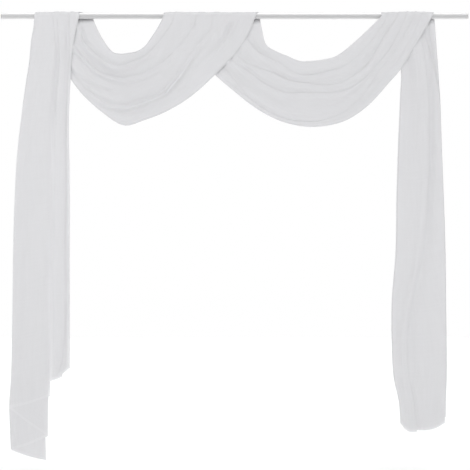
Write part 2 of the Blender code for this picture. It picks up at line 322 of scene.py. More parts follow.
def read_folds(folds, progress):
    """The back folds, fore folds, gap and seat at each progress, kept in an order the cloth can take."""
    known = np.array([row[0] for row in folds]) / PARTS
    places = np.array([(*row[1], *row[2]) for row in folds]) / PARTS
    columns = read_smooth(progress, known, np.hstack((places, [row[3:] for row in folds])))
    fore = np.clip(columns[:, PLEATS:2 * PLEATS], *FORE_RANGE)
    back = np.clip(columns[:, :PLEATS], *BACK_RANGE)
    back = np.minimum(back, fore - FOLD_ROOM)
    back[:, :-1] = np.minimum(back[:, :-1], fore[:, 1:] - FOLD_ROOM)
    gap = np.maximum(columns[:, -2], LEAST_GAP)
    seat = np.clip(columns[:, -1], 0.0, 1.0)
    return back, fore, gap, seat


def spread_out(count):
    """Numbers from 0 to 1 that lie closer together near both ends."""
    even = np.linspace(0.0, 1.0, count)
    return even - CROWDING / (2 * math.pi) * np.sin(2 * math.pi * even)


halfway = read_smooth(np.array([0.5]), np.linspace(0, 1, len(FIRST_SWAG)), FIRST_SWAG)
print("first swag's edges and depth halfway, in mm:", halfway[0].round(1))

# %% [markdown]
# ## One back-and-forth section
# Each row of the sheet is a section across the panel. Every layer has its own number of columns, by its
# width, so that they lie 8 to 12 mm apart and narrow creases show; more of them lie where it turns round a
# fold. A layer's height in the stack is the sum of the gaps below it, and each gap fades out beyond its own
# pleat, so the layers nest. At a fold the two layers close with a small round turn, a little wider than the
# gap, because voile is springy and rolls there.

# %% The section of pleats
FLAT_COLUMNS = (24, 24, 26, 20, 22, 18, 22, 18, 16, 12, 14)  # between the turns, first layer to last
TURN_ROUND = 4.0  # mm before a fold over which a layer turns
TURN_SHARE = 0.42  # the most of a layer's length that one turn takes
TURN_STEPS = (0.0, 0.12, 0.4)  # where the columns of a turn lie, as shares of it from the fold
EASE_LEAST = 3.0  # mm beyond a fold over which the layers on it settle, at no gap
EASE_BY_GAP = 9.0  # mm more for each mm of gap
EASE_MOST = 20.0  # mm at most
ROLL = 0.2  # how much wider than the gap a fold rolls
ROLL_REACH = 14.0  # mm that the roll reaches in from the fold


def pleated(folds, progress, width):
    """Share of the way across and height in the stack, in mm, by row and column, and each column's layer."""
    back, fore, gap, seat = read_folds(folds, progress)
    rows = len(width)
    turns = np.zeros((rows, 2 * PLEATS + 2))
    turns[:, 1:-1:2] = fore
    turns[:, 2:-1:2] = back
    turns[:, -1] = 1.0
    closing = gap * (1 + ROLL) / 2
    shares, layers, rises = [], [], []
    for layer in range(2 * PLEATS + 1):
        start, end = turns[:, layer], turns[:, layer + 1]
        length = np.abs(end - start) * width
        turn = np.minimum(TURN_ROUND, TURN_SHARE * length)
        flat = np.linspace(0.0, 1.0, FLAT_COLUMNS[layer] + 1)
        along = [turn * near for near in TURN_STEPS]
        along += [turn + (length - 2 * turn) * part for part in flat]
        along += [length - turn * near for near in TURN_STEPS[:0:-1]]
        along = np.stack(along, axis=1)
        if layer == 2 * PLEATS:
            along = np.hstack((along, length[:, None]))
        share = start[:, None] + along * (np.sign(end - start) / width)[:, None]
        into_start = np.clip(1 - along / turn[:, None], 0, 1) * (layer > 0)
        into_end = np.clip(1 - (length[:, None] - along) / turn[:, None], 0, 1) * (layer < 2 * PLEATS)
        rise = np.sqrt(1 - into_start ** 2) - np.sqrt(1 - into_end ** 2)
        shares.append(share)
        rises.append(rise * closing[:, None])
        layers.append(np.full(along.shape[1], layer))
    share = np.hstack(shares)
    rise = np.hstack(rises)
    layer = np.concatenate(layers)
    beyond = np.maximum(back[:, None, :] - share[..., None], share[..., None] - fore[:, None, :])
    beyond = beyond * width[:, None, None]
    ease = np.minimum(EASE_MOST, EASE_LEAST + EASE_BY_GAP * gap)[:, None, None]
    opened = np.exp(-(np.maximum(beyond, 0) / ease) ** 2)
    rolled = 1 + ROLL * np.exp(-(np.minimum(beyond, 0) / ROLL_REACH) ** 2)
    gaps = gap[:, None, None] * opened * rolled
    below = np.clip(layer[:, None] - 2 * np.arange(PLEATS)[None, :], 0, 2)
    height = (gaps * below[None]).sum(axis=2) + rise
    return share, height - seat[:, None] * 2 * gaps.sum(axis=2), layer


trial_widths = np.array([247.0, 240.0, 193.0])  # mm, the left tail's foot, middle and top
trial_share, trial_height, _ = pleated(LEFT_TAIL_FOLDS, np.array([0.0, 0.5, 1.0]), trial_widths)
print("columns:", trial_share.shape[1], "stack in mm:", np.ptp(trial_height, axis=1).round(1))

# %% [markdown]
# ## Ridges, troughs and wrinkles
# A real swag isn't flat between its folds: the cloth rounds out into soft ridges and sinks into troughs,
# and small wrinkles run along it. All layers share them, so they nest. Each ridge or trough is a line
# through the cloth: where it runs, how far it stands out towards the room, and how broad it is. The eye
# reads a fold as a bright raised strip with a darker line beside it, so most ridges have a trough at one
# side. Sculpting could do the same, but rows of numbers are easier to move.

# %% The ridges and troughs of the left tail and the first swag
# A ridge or trough has rows of progress, place across, lift in mm and spread in mm.
LEFT_TAIL_RELIEF = (
    ((0, 740, 3, 16), (400, 750, 4, 15), (800, 750, 3.5, 14), (950, 720, 1.5, 12)),
    ((0, 620, -4, 16), (150, 640, -6, 14), (400, 650, -6, 13), (800, 660, -8, 11), (890, 655, -7, 9),
     (920, 650, -3, 9)),
    ((0, 880, -1.5, 8), (400, 900, -2.5, 7), (800, 915, -3, 7), (900, 900, -4, 7), (950, 840, -5, 7),
     (990, 760, -4, 7)),
    ((860, 1000, -2, 5), (900, 1000, -3, 5), (1000, 1000, -3, 5)),
    ((50, 300, 3, 30), (400, 280, 1.5, 24), (750, 320, 4, 30), (950, 300, 2.5, 26)),
    ((50, 120, -1.5, 14), (400, 140, -2, 14), (750, 180, -2, 12), (950, 160, -1, 10)),
)
FIRST_SWAG_RELIEF = (
    ((200, 100, -4, 7), (225, 180, -5, 7), (265, 270, -6, 7), (305, 335, -5, 7), (345, 390, -4, 7),
     (400, 415, -2, 7)),
    ((280, 130, -2, 8), (330, 165, -3, 9), (380, 250, -4, 11), (440, 300, -4, 12), (490, 290, -4, 12),
     (540, 275, -3, 11), (590, 275, -3, 9), (640, 335, -3, 8), (720, 410, -3, 8), (770, 430, -2, 8)),
    ((120, 450, -2, 10), (180, 500, -3, 11), (240, 565, -3, 12), (290, 610, -3, 12), (350, 655, -3, 13),
     (440, 680, -3, 13), (520, 655, -3, 12), (580, 645, -2.5, 12), (640, 620, -2, 12)),
    ((50, 690, -3, 8), (120, 655, -4, 8), (180, 720, -3, 8), (240, 790, -3, 9), (306, 800, -3, 9),
     (357, 825, -3, 9), (430, 870, -4, 9), (520, 900, -3, 8), (570, 885, -2, 8)),
    ((700, 620, -1, 8), (760, 600, -3, 8), (810, 620, -4, 8), (900, 630, -5, 8), (1000, 625, -5, 8)),
    ((760, 195, 2, 12), (810, 195, 3, 12), (880, 205, 5, 12), (1000, 190, 5, 12)),
    ((760, 235, -3, 9), (810, 235, -5, 9), (880, 245, -9, 9), (950, 235, -9, 9), (1000, 230, -9, 9)),
    ((760, 0, -1, 6), (800, 0, -3, 6), (1000, 0, -3, 6)),
    ((280, 90, 5, 10), (330, 120, 8, 10), (380, 200, 11, 10), (440, 242, 13, 10), (500, 235, 13, 10),
     (540, 242, 13, 10), (595, 232, 13, 10), (640, 285, 12, 10), (700, 340, 10, 10), (770, 390, 6, 9)),
    ((120, 390, 6, 9), (180, 435, 8, 9), (240, 487, 9, 9), (290, 532, 9, 9), (350, 582, 9, 9),
     (445, 607, 9, 10), (520, 592, 8, 10), (585, 597, 7, 10), (640, 567, 4, 10)),
    ((70, 635, 5, 9), (120, 600, 6, 9), (176, 650, 7, 9), (236, 710, 9, 9), (300, 733, 9, 9),
     (355, 743, 9, 9), (430, 803, 8, 9), (520, 840, 8, 9), (565, 834, 6, 9)),
    ((200, 180, 3, 16), (300, 220, 5, 18), (360, 280, 4, 16)),
)
print("ridges and troughs:", len(LEFT_TAIL_RELIEF), "and", len(FIRST_SWAG_RELIEF))

# %% The ridges and troughs of the second swag and the right tail
SECOND_SWAG_RELIEF = (
    ((90, 225, -3, 9), (130, 180, -6, 8), (200, 145, -5, 8), (250, 130, -2, 8)),
    ((240, 400, -1, 9), (290, 335, -2, 8), (330, 330, -3, 7), (390, 325, -3.5, 7), (430, 320, -1, 6)),
    ((450, 210, -4, 6), (490, 190, -4, 6), (550, 172, -2, 7), (620, 170, -1, 8)),
    ((720, 436, -4, 7), (760, 450, -4, 7), (810, 390, -3.5, 7), (850, 340, -3, 8), (940, 270, -1.5, 8)),
    ((135, 610, -1.5, 10), (185, 560, -2, 10), (280, 565, -3, 10), (360, 540, -3, 9), (410, 490, -2.5, 9),
     (460, 460, -1.5, 9)),
    ((470, 470, -1.5, 10), (570, 505, -2.5, 10), (640, 535, -2, 9), (690, 575, -1, 9)),
    ((530, 690, -1.5, 8), (580, 700, -2.5, 8), (660, 675, -3, 8), (720, 650, -2, 8)),
    ((140, 800, -1, 7), (200, 795, -2, 7), (280, 810, -1.5, 7)),
    ((160, 935, -1, 5), (220, 940, -1.5, 5), (300, 925, -1, 5)),
    ((780, 1000, -1, 6), (820, 1000, -3, 6), (1000, 1000, -3, 6)),
    ((140, 360, 3, 14), (300, 240, 3, 16), (460, 265, 3, 12), (600, 280, 4, 16), (750, 330, 3, 14)),
    ((140, 700, 4, 14), (300, 690, 5, 16), (460, 600, 5, 20), (600, 600, 4, 14), (750, 560, 3, 14)),
    ((300, 870, 3, 16), (460, 830, 4, 20), (660, 820, 5, 18), (880, 800, 4, 16)),
)
RIGHT_TAIL_RELIEF = (
    ((50, 360, 3, 16), (300, 620, 4, 16), (540, 480, 5, 16), (740, 240, 6, 14), (870, 180, 2, 14)),
    ((50, 220, -3, 18), (150, 220, -5, 16), (250, 240, -2, 16), (400, 220, 0, 16)),
    ((100, 760, -4, 10), (320, 780, -4, 10), (540, 640, -5, 12), (750, 380, -7, 14), (880, 360, -1, 16)),
    ((100, 900, 2, 12), (400, 880, 3, 16), (700, 760, 3, 24), (900, 720, 1.5, 24)),
)
print("ridges and troughs:", len(SECOND_SWAG_RELIEF), "and", len(RIGHT_TAIL_RELIEF))

# %% How far the cloth stands out
FADE = 0.08  # of the way along, over which a ridge or trough fades out past its ends
WRINKLE_COUNT = 12  # waves that are laid over each other
WRINKLE_WAVES = (16, 60)  # mm from crest to crest
WRINKLE_RUNS = (220, 700)  # mm along the cloth in which a wave wanders to both sides and back
WANDER = 1.6  # how far it wanders, in radians
FADES_WITHIN = 0.6  # the share of that run in which it fades and comes back
WRINKLE_SUM = 3.0  # what the waves' sum is divided by, so that it is about 1 high
BAND_WIDTH = 300.0  # mm, about how wide the pleated panel hangs
GATHERS = ((31, 0.8, 1.0), (53, 2.0, 0.7), (83, 4.1, 0.5))  # radians across the panel, phase, strength


def relief(lines, share, progress, width):
    """How far the cloth stands out towards the room, in mm, from the table's ridges and troughs."""
    lift = np.zeros_like(share)
    for line in lines:
        known, places, lifts, spreads = np.array(line, float).T
        known = known / PARTS
        place = np.interp(progress, known, places / PARTS)
        size = np.interp(progress, known, lifts)
        spread = np.interp(progress, known, spreads)
        before = soft_step((progress - known[0] + FADE) / FADE)
        after = soft_step((known[-1] + FADE - progress) / FADE)
        away = (share - place) * width / spread
        lift += size * before * after * np.exp(-away ** 2)
    return lift


def wrinkles(share, along, seed):
    """Small waves across the cloth that wander and fade along it; about 1 high."""
    chance = np.random.default_rng(seed)
    across = share * BAND_WIDTH
    total = np.zeros_like(share)
    for _ in range(WRINKLE_COUNT):
        wave = chance.uniform(*WRINKLE_WAVES)
        run = chance.uniform(*WRINKLE_RUNS)
        turn, drift, fade = chance.uniform(0, 2 * math.pi, 3)
        wander = WANDER * np.sin(2 * math.pi * along / run + drift)
        strength = 0.5 + 0.5 * np.sin(2 * math.pi * along / (FADES_WITHIN * run) + fade)
        total += strength * np.sin(2 * math.pi * across / wave + turn + wander)
    return total / WRINKLE_SUM


def gathers(share):
    """The small upright gathers where the cloth is bunched on the rod, from 0 to about 1."""
    waves = sum(strength * np.sin(share * turns + phase) for turns, phase, strength in GATHERS)
    highest = sum(strength for turns, phase, strength in GATHERS)
    return (waves / highest + 1) / 2


trial_lift = relief(FIRST_SWAG_RELIEF, np.linspace(0, 1, 200)[None], np.full((1, 1), 0.5), BAND_WIDTH)
print("first swag's middle, deepest trough and highest ridge in mm:", trial_lift.min().round(1),
      trial_lift.max().round(1))

# %% [markdown]
# ## The hems
# The left tail's bottom hem zigzags upwards from layer to layer, because the panel was laid over the rod at
# a slant: this is the cascade of points at its foot. The right tail's hem is one rounded line. A cut through
# the grid would leave small uneven faces, so each column is stretched to its own hem instead.

# %% The bottom hems
# The left hem's drop at the panel's first edge, at each fold in turn, and at its last edge, in mm.
LEFT_HEM = (1852, 1900, 1857, 1797, 1677, 1626, 1566, 1502, 1557, 1542, 1538, 1503)

# A share of the way across, and the right hem's drop there, in mm.
RIGHT_HEM = ((0.0, 1742), (0.1, 1768), (0.4, 1779), (0.8, 1768), (1.0, 1745))
RIGHT_HEM_STEP = 3.0  # mm that each layer is shorter than the one before
LEFT_HEM_WIDTH = 247.0  # mm that the pleated panel measures across the left tail's foot
RIGHT_HEM_WIDTH = 191.0  # mm across the right tail's foot
HEM_BELLY = 5.0  # mm that the left hem sags between two folds
BELLY_FROM = 30.0  # mm; where a hem falls less from fold to fold, it sags less


def left_hem():
    """The left hem's drop at each column: straight from fold to fold, with a slight belly."""
    share, _, layer = pleated(LEFT_TAIL_FOLDS, np.array([0.0]), np.array([LEFT_HEM_WIDTH]))
    drops = np.zeros(share.shape[1])
    for k in range(2 * PLEATS + 1):
        here = layer == k
        part = np.abs(share[0, here] - share[0, here][0])
        part = part / part[-1]
        fall = LEFT_HEM[k + 1] - LEFT_HEM[k]
        belly = HEM_BELLY * np.sin(math.pi * part) * min(1.0, abs(fall) / BELLY_FROM)
        drops[here] = LEFT_HEM[k] + part * fall + belly
    return drops


def right_hem():
    """The right hem's drop at each column."""
    share, _, layer = pleated(RIGHT_TAIL_FOLDS, np.array([1.0]), np.array([RIGHT_HEM_WIDTH]))
    known, drops = np.array(RIGHT_HEM, float).T
    return read_smooth(share[0], known, drops[:, None])[:, 0] - RIGHT_HEM_STEP * layer


print("left hem, highest and lowest drop in mm:", left_hem().min().round(), left_hem().max().round())

# %% [markdown]
# ## Laying the cloth stretch by stretch
# A tail hangs straight down, a swag's sections turn like the spokes of a fan from one bunch to the next,
# and between them the cloth bends round the rod. Each function gives the points of its rows in millimetres.
# Behind the rod the cloth hugs it, and then comes forward under it, because the swag's weight hangs in
# front. Near the rod it is too tightly bunched for broad ridges, and has small gathers instead. Where one
# stretch hangs behind another, the hidden cloth is drawn back a little, to keep the two apart.

# %% How the rod shapes the cloth
TO_ROOM, TO_WALL = -1, 1  # the two ways along Y
SEAT = 14.6  # mm from the rod's axis to the innermost layer over it
HUG_ROOM = 1.5  # mm of slack where the cloth turns under the rod
HUG_OPENS = 8.0  # mm of drop over which that slack opens
LEAN = math.radians(50)  # how steeply the cloth comes forward under the rod
TUCK = 15.0  # mm that it comes forward there
ROD_SPACE = 24.0  # mm below the rod's axis in which the rod alone sets the cloth's depth
ROD_FADE = 70.0  # mm below that over which the tables take over
BUNCH = 1.6  # mm that the small gathers on the rod stand out


def near_rod(distance, reach):
    """1 on the rod, fading to 0 at the reach, both in mm."""
    return 1 - soft_step(distance / reach)


def shaped_by_rod(drop):
    """How much the rod sets the cloth's depth at a drop, from 1 to 0."""
    return near_rod(drop - ROD_SPACE, ROD_FADE)


def clear_of_rod(depth, drop, side):
    """The depth at a drop: clear of the rod in front, or hugging it behind and coming forward under it."""
    least = np.sqrt(np.maximum(SEAT ** 2 - drop ** 2, 0.0))
    in_front = np.where((drop < SEAT) & (-depth < least), -least, depth)
    round_it = SEAT + HUG_ROOM * soft_step(drop / HUG_OPENS)
    behind = np.sqrt(np.maximum(round_it ** 2 - drop ** 2, 0.0))
    leaving = (round_it - drop * math.sin(LEAN)) / math.cos(LEAN)
    forward = np.maximum(leaving, 0.0) - TUCK * np.tanh(np.maximum(-leaving, 0.0) / TUCK)
    hugging = np.where(drop < round_it * math.sin(LEAN), behind, forward)
    near = shaped_by_rod(drop)
    return np.where(side == TO_ROOM, in_front, near * hugging + (1 - near) * depth)


for side in (TO_ROOM, TO_WALL):
    print("depth at drops of 0, 20 and 90 mm:", clear_of_rod(0.0, np.array([0.0, 20.0, 90.0]), side).round(1))

# %% The tails
TAIL_ROWS = 72
TAIL_CALM = 90.0  # mm of drop over which ridges and wrinkles grow in
TAIL_BUNCHED = 260.0  # mm of drop over which the gathers fade out
TAIL_WRINKLES = 0.6  # mm, how high the wrinkles are
MORE_AT_FOOT = 0.2  # mm more at the foot
FOOT_CURL = 14.0  # mm that the left tail's foot curls towards the wall
CURL_START = 1790.0  # mm of drop where the curl begins, below the right tail's foot
CURL_REACH = 100.0  # mm of drop in which it grows to that depth
CURL_MOST = 1.2  # the most reaches that it grows over


def tail_points(edges, folds, lines, facing, hem, downwards, seed):
    """A tail's rows. Facing is the way along Y in which its layers are stacked."""
    way = spread_out(TAIL_ROWS)
    if not downwards:
        way = way[::-1]
    progress = way if downwards else 1 - way
    table = np.array(edges, float)
    drop = way[:, None] * hem[None, :]
    sides = read_smooth(drop, table[:, 0], table[:, 1:])
    middle = read_smooth(drop.mean(axis=1), table[:, 0], table[:, 1:])
    width = middle[:, 1] - middle[:, 0]
    share, height, _ = pleated(folds, progress, width)
    x = sides[..., 0] + share * (sides[..., 1] - sides[..., 0])
    down = drop / table[-1, 0]
    lift = relief(lines, share, down if downwards else 1 - down, width[:, None])
    lift += (TAIL_WRINKLES + MORE_AT_FOOT * down) * wrinkles(share, drop, seed)
    lift *= 1 - near_rod(drop, TAIL_CALM)
    lift -= FOOT_CURL * np.clip((drop - CURL_START) / CURL_REACH, 0.0, CURL_MOST) ** 2
    bunch = BUNCH * near_rod(drop, TAIL_BUNCHED) * gathers(share)
    y = clear_of_rod(sides[..., 2], drop, facing) + facing * (height + bunch) - lift
    return np.stack((x, y, -drop), axis=2)


left_tail = tail_points(LEFT_TAIL, LEFT_TAIL_FOLDS, LEFT_TAIL_RELIEF, TO_ROOM, left_hem(),
                        downwards=False, seed=3)
right_tail = tail_points(RIGHT_TAIL, RIGHT_TAIL_FOLDS, RIGHT_TAIL_RELIEF, TO_WALL, right_hem(),
                         downwards=True, seed=11)
print("the tails' lowest points in mm:", left_tail[..., 2].min().round(), right_tail[..., 2].min().round())

# %% The swags
SWAG_ROWS = 88
SWAG_CALM = 60.0  # mm of drop over which ridges and wrinkles grow in
SWAG_BUNCHED = 160.0  # mm of drop over which the gathers fade out
SWAG_WRINKLES = 0.8  # mm, how high the wrinkles are
SWAG_RUN = 1200.0  # mm, about how much of the panel's length hangs in a swag


def swag_points(edges, folds, lines, facing, seed):
    """A swag's rows, from behind the rod to in front of it."""
    progress = spread_out(SWAG_ROWS)
    columns = read_smooth(progress, np.linspace(0, 1, len(edges)), edges)
    first_x, first_drop, last_x, last_drop, depth = columns.T[..., None]
    width = np.hypot(last_x - first_x, last_drop - first_drop)[:, 0]
    share, height, _ = pleated(folds, progress, width)
    x = first_x + share * (last_x - first_x)
    drop = first_drop + share * (last_drop - first_drop)
    lift = relief(lines, share, progress[:, None], width[:, None])
    lift += SWAG_WRINKLES * wrinkles(share, SWAG_RUN * progress[:, None], seed)
    lift *= 1 - near_rod(drop, SWAG_CALM)
    side = np.where(progress < 0.5, TO_WALL, TO_ROOM)[:, None]
    bunch = BUNCH * near_rod(drop, SWAG_BUNCHED) * gathers(share)
    y = clear_of_rod(depth, drop, side) + facing * height - lift + side * bunch
    return np.stack((x, y, -drop), axis=2)


first_swag = swag_points(FIRST_SWAG, FIRST_SWAG_FOLDS, FIRST_SWAG_RELIEF, TO_WALL, seed=5)
second_swag = swag_points(SECOND_SWAG, SECOND_SWAG_FOLDS, SECOND_SWAG_RELIEF, TO_ROOM, seed=7)
print("the swags' lowest points in mm:", first_swag[..., 2].min().round(), second_swag[..., 2].min().round())

# %% The passes over the rod
PASS_ROWS = 9


def pass_points(edges, folds, outwards):
    """The rows that bend round the rod, front to back, with the folds that the stretch before it ends in."""
    over = np.linspace(0.0, 1.0, PASS_ROWS + 2)[1:-1]
    first_x, last_x = read_smooth(over, (0.0, 0.5, 1.0), edges).T[..., None]
    width = np.abs(last_x - first_x)[:, 0]
    share, height, _ = pleated(folds, np.ones(len(over)), width)
    out = SEAT + (height if outwards else -height) + BUNCH * gathers(share)
    angle = math.pi * over[:, None]
    x = first_x + share * (last_x - first_x)
    return np.stack((x, -out * np.cos(angle), out * np.sin(angle)), axis=2)


left_pass = pass_points(LEFT_PASS, LEFT_TAIL_FOLDS, outwards=True)
middle_pass = pass_points(MIDDLE_PASS, FIRST_SWAG_FOLDS, outwards=False)
right_pass = pass_points(RIGHT_PASS, SECOND_SWAG_FOLDS, outwards=True)
print("rows over the rod at each crossing:", len(left_pass), len(middle_pass), len(right_pass))

# %% Draw back what hangs behind, and join the stretches
EARLY = 3.0  # mm beside a front stretch's edge where the cloth behind begins to draw back
EASED_OVER = 28.0  # mm over which it draws back
SWAG_DRAWN = 17.0  # mm that a swag is drawn back
TAIL_DRAWN = 8.0  # mm that the right tail is drawn back


def tuck_behind(points, edge, depth):
    """Eases the points towards the wall where a stretch in front hides them; edge is its drop and x."""
    drops, places = np.array(edge, float).T
    drop = -points[..., 2]
    hidden = np.interp(drop, drops, places) + EARLY - points[..., 0]
    points[..., 1] += depth * soft_step(hidden / EASED_OVER) * (1 - shaped_by_rod(drop))
    return points


# The edges that something hangs behind, from the rod down: drop, and place along the rod.
TAIL_EDGE = [(row[0], row[2]) for row in LEFT_TAIL]
FIRST_ARM_EDGE = [(row[1], row[0]) for row in FIRST_SWAG[-6:][::-1]]
SECOND_ARM_EDGE = [(row[3], row[2]) for row in SECOND_SWAG[-5:][::-1]]

rows = [
    left_tail,
    left_pass,
    tuck_behind(first_swag, TAIL_EDGE, SWAG_DRAWN),
    middle_pass,
    tuck_behind(second_swag, FIRST_ARM_EDGE, SWAG_DRAWN),
    right_pass,
    tuck_behind(right_tail, SECOND_ARM_EDGE, TAIL_DRAWN),
]
cloth = np.concatenate(rows) * MM
across = np.linalg.norm(np.diff(cloth, axis=1), axis=2)
down = np.linalg.norm(np.diff(cloth, axis=0), axis=2)
print("grid:", cloth.shape[:2], "length in m:", down.sum(axis=0).mean().round(2))
widths = across.sum(axis=1)
print("width in m, least, mean and most:", widths.min().round(2), widths.mean().round(2),
      widths.max().round(2))

# %% [markdown]
# ## One thin sheet
# The points become one open mesh of four-sided faces. Its UV map lays the panel flat, with the threads'
# own directions as its axes, so that the weave follows the cloth round every fold.

# %% Make the sheet
FLAT_WIDTH = 1.4  # m, as cut
FLAT_LENGTH = 6.0  # m

number = np.arange(cloth[..., 0].size).reshape(cloth.shape[:2])
corners = np.stack((number[:-1, :-1], number[:-1, 1:], number[1:, 1:], number[1:, :-1]), axis=2)
corners = corners.reshape(-1, 4)
sheet_mesh = bpy.data.meshes.new("voile_panel")
sheet_mesh.from_pydata(cloth.reshape(-1, 3).tolist(), [], corners.tolist())

flat_u = np.insert(np.cumsum(across, axis=1), 0, 0.0, axis=1)
flat_v = np.insert(np.cumsum(down, axis=0), 0, 0.0, axis=0)
flat_uv = np.stack((flat_u / flat_u[:, -1:], flat_v / flat_v[-1:]), axis=2).reshape(-1, 2)
uv_map = sheet_mesh.uv_layers.new(name="OFBake")
uv_map.data.foreach_set("uv", flat_uv[corners.reshape(-1)].astype(np.float32).reshape(-1))
sheet_mesh.polygons.foreach_set("use_smooth", np.ones(len(corners), dtype=bool))
sheet_mesh.update()

voile = bpy.data.objects.new("voile_panel", sheet_mesh)
scene.collection.objects.link(voile)
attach(voile, "root")
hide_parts("voile_scarf")
area = sum(face.area for face in sheet_mesh.polygons)
print("faces:", len(sheet_mesh.polygons), "area in square metres:", round(area, 2))

# %% [markdown]
# ## Materials
# Colours are picked as sRGB hex values, as on a screen, and turned to the linear values that the shader
# wants. Small helpers add a node and set or link its sockets. What is the same all over a surface is set on
# the shader's own socket, because that is what an exported model keeps.

# %% Helpers for materials


def linear(hex_colour):
    """An sRGB hex colour as linear red, green, blue and 1."""
    channels = [int(hex_colour[i:i + 2], 16) / 255 for i in (1, 3, 5)]
    return [c / 12.92 if c <= 0.04045 else ((c + 0.055) / 1.055) ** 2.4 for c in channels] + [1.0]


def set_sockets(node, values):
    """Sets sockets by name or number: to a value, or to a link from a socket or from a node's first one."""
    for name, value in values.items():
        source = value.outputs[0] if isinstance(value, bpy.types.Node) else value
        if isinstance(source, bpy.types.NodeSocket):
            node.id_data.links.new(source, node.inputs[name])
        else:
            node.inputs[name].default_value = source


def add_node(tree, kind, settings=None):
    """Adds a node and sets its properties and sockets."""
    node = tree.nodes.new(kind)
    for name, value in (settings or {}).items():
        if isinstance(name, str) and hasattr(node, name):
            setattr(node, name, value)
        else:
            set_sockets(node, {name: value})
    return node


def add_range(tree, value, known, wanted):
    """Turns a value's known range into the wanted one, and goes no further."""
    return add_node(tree, "ShaderNodeMapRange", {
        "Value": value, "From Min": known[0], "From Max": known[1], "To Min": wanted[0], "To Max": wanted[1]})


def add_tint(tree, value, tones):
    """A colour that runs from one tone to the other, each at its own value."""
    tint = add_node(tree, "ShaderNodeValToRGB", {"Fac": value})
    for element, (at, tone) in zip(tint.color_ramp.elements, tones):
        element.position = at
        element.color = linear(tone)
    return tint


def new_material(name):
    """A new material, its node tree, its Principled node and its output node."""
    material = bpy.data.materials.new(name)
    material.use_nodes = True
    tree = material.node_tree
    return material, tree, tree.nodes["Principled BSDF"], tree.nodes["Material Output"]


print("voile's white as a linear colour:", [round(v, 3) for v in linear("#DDDDDF")])

# %% [markdown]
# ## Polyester voile
# Voile is a plain weave of fine, hard-twisted polyester yarn, set so openly that light glows through the
# yarns and passes straight through the holes between them. Its threads are only 0.4 mm apart, which is far
# too fine to show at 4 mm a pixel, so a layer is one surface that is partly white, partly glowing and partly
# clear. Many layers make a soft milky white. The eye also sees that yarns swell and thin along their length:
# faint streaks run along and across the cloth. They are drawn about 8 mm apart, as coarse as they need to be
# to show. The turned hems are three layers thick, so they let less light through. The side hems are painted
# a shade darker: painted shade that stands in for the shading round the rolled hem's curve.

# %% The voile's uneven yarns
VOILE_COVER = 0.93  # how much one layer covers
STREAK_COVER = 0.01  # how much the streaks change it
STREAKS_ACROSS = 125.0  # streaks a metre, counted across the yarns: 8 mm apart
STREAKS_ALONG = 7.0  # streaks a metre, counted along a yarn: about 140 mm long
STREAK_RANGE = (0.7, 1.3)  # the two patterns' sum, from thin yarn to thick

voile_finish, tree, shader, output = new_material("plain_woven_polyester_voile")
uv = add_node(tree, "ShaderNodeUVMap", {"uv_map": "OFBake"})
metres = add_node(tree, "ShaderNodeVectorMath", {
    "operation": "MULTIPLY", 0: uv, 1: (FLAT_WIDTH, FLAT_LENGTH, 1.0)})
patterns = []
for scale in ((STREAKS_ACROSS, STREAKS_ALONG, 1.0), (STREAKS_ALONG, STREAKS_ACROSS, 1.0)):
    threads = add_node(tree, "ShaderNodeMapping", {"Vector": metres, "Scale": scale})
    patterns.append(add_node(tree, "ShaderNodeTexNoise", {"Vector": threads, "Scale": 1.0, "Detail": 2.0}))
streaks = add_node(tree, "ShaderNodeMath", {"operation": "ADD", 0: patterns[0], 1: patterns[1]})
cover = add_range(tree, streaks, STREAK_RANGE, (VOILE_COVER - STREAK_COVER, VOILE_COVER + STREAK_COVER))
print("voile nodes:", len(tree.nodes))

# %% The voile's hems
HEM_COVER = 0.03  # how much more a hem covers
THROUGH_LIGHT = 0.18  # the share of the light on a yarn that comes out at its far side
HEM_THROUGH_LIGHT = 0.14  # the same where a hem lies three layers thick
SIDE_HEM = 0.007  # m, the hems along the panel
END_HEM = 0.013  # m, the hems across its two ends
HEM_FADE = 0.0015  # m over which a hem's inner edge shows

place = add_node(tree, "ShaderNodeSeparateXYZ", {0: metres})


def hem_band(position, size, hem):
    """1 within the hem at either end of the position, which runs from 0 to the size, and 0 elsewhere."""
    centred = add_node(tree, "ShaderNodeMath", {"operation": "SUBTRACT", 0: position, 1: size / 2})
    from_middle = add_node(tree, "ShaderNodeMath", {"operation": "ABSOLUTE", 0: centred})
    inner = size / 2 - hem
    return add_range(tree, from_middle, (inner, inner + HEM_FADE), (0.0, 1.0))


side_hem = hem_band(place.outputs["X"], FLAT_WIDTH, SIDE_HEM)
end_hem = hem_band(place.outputs["Y"], FLAT_LENGTH, END_HEM)
hems = add_node(tree, "ShaderNodeMath", {"operation": "MAXIMUM", 0: side_hem, 1: end_hem})
covered = add_node(tree, "ShaderNodeMath", {"operation": "MULTIPLY_ADD", 0: hems, 1: HEM_COVER, 2: cover})
through = add_range(tree, hems, (0.0, 1.0), (THROUGH_LIGHT, HEM_THROUGH_LIGHT))
print("hems in mm:", SIDE_HEM / MM, END_HEM / MM)

# %% The voile's colour, relief and light
YARN_TONES = ((0.35, "#DBDBDD"), (0.75, "#DDDDDF"))  # the streaks' sum at each tone
# The side hems' darker tone is painted shade, standing in for the shading round the rolled hem's curve.
SIDE_HEM_PAINTED_SHADE = "#D0D0D2"
FIRST_COLOUR, SECOND_COLOUR, MIXED = 6, 7, 2  # a Mix node's colours going in and coming out, by number

tint = add_tint(tree, streaks, YARN_TONES)
